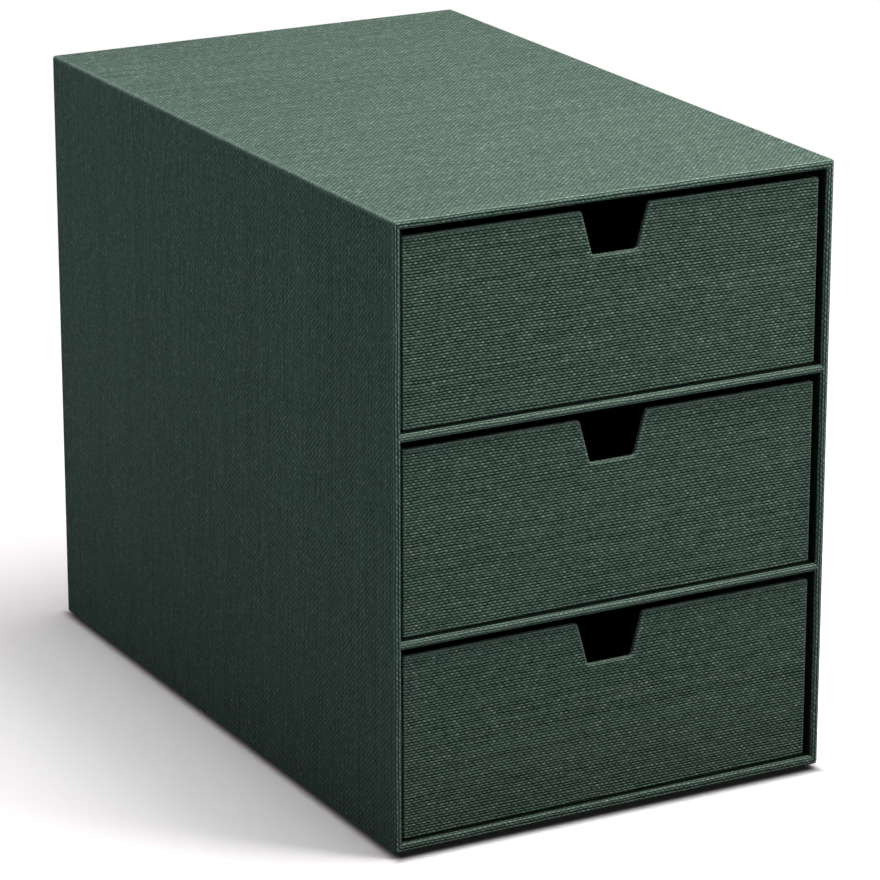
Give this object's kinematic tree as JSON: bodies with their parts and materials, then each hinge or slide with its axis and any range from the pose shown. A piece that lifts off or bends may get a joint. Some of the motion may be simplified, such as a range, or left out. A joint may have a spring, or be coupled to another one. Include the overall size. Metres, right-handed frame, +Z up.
{
  "type": "file box with drawers",
  "caption": "Cloth-covered board box, open at the front, with stacked pull-out tray drawers that have a trapezoid finger notch at the top of each front.",
  "frame": {"origin": "on the surface that the box stands on, under the middle of the case", "axes": "+Z up, -Y out of the open front with the drawers, +X to the right of a person facing the front"},
  "size_m": [0.23, 0.367, 0.301],
  "materials": {
    "case_cloth": "coarse dark green book cloth, plain weave, matt",
    "drawer_cloth": "coarse dark green book cloth, plain weave, matt",
    "lining": "smooth dark lining",
    "board": "grey board, uncoated",
    "pad": "matt dark"
  },
  "bodies": {
    "case": {"case_left_board": "board", "case_right_board": "board", "case_top_board": "board", "case_base_board": "board", "case_back_board": "board", "case_cover": "case_cloth", "case_back_cover": "case_cloth", "case_lining": "lining", "shelf_under_middle_drawer_board": "board", "shelf_under_middle_drawer_cover": "case_cloth", "shelf_under_upper_drawer_board": "board", "shelf_under_upper_drawer_cover": "case_cloth", "foot_pad_front_left": "pad", "foot_pad_front_right": "pad", "foot_pad_back_left": "pad", "foot_pad_back_right": "pad"},
    "drawer_lower": {"drawer_lower_front_board": "board", "drawer_lower_left_board": "board", "drawer_lower_right_board": "board", "drawer_lower_back_board": "board", "drawer_lower_base_board": "board", "drawer_lower_cover": "drawer_cloth", "drawer_lower_base_sheet": "lining", "drawer_lower_lining": "lining"},
    "drawer_middle": {"drawer_middle_front_board": "board", "drawer_middle_left_board": "board", "drawer_middle_right_board": "board", "drawer_middle_back_board": "board", "drawer_middle_base_board": "board", "drawer_middle_cover": "drawer_cloth", "drawer_middle_base_sheet": "lining", "drawer_middle_lining": "lining"},
    "drawer_upper": {"drawer_upper_front_board": "board", "drawer_upper_left_board": "board", "drawer_upper_right_board": "board", "drawer_upper_back_board": "board", "drawer_upper_base_board": "board", "drawer_upper_cover": "drawer_cloth", "drawer_upper_base_sheet": "lining", "drawer_upper_lining": "lining"}
  },
  "joints": [
    {"name": "drawer_lower_slide", "type": "slide", "parent": "case", "child": "drawer_lower", "axis": [0, -1, 0], "range_m": [0, 0.3]},
    {"name": "drawer_middle_slide", "type": "slide", "parent": "case", "child": "drawer_middle", "axis": [0, -1, 0], "range_m": [0, 0.3]},
    {"name": "drawer_upper_slide", "type": "slide", "parent": "case", "child": "drawer_upper", "axis": [0, -1, 0], "range_m": [0, 0.3]}
  ]
}
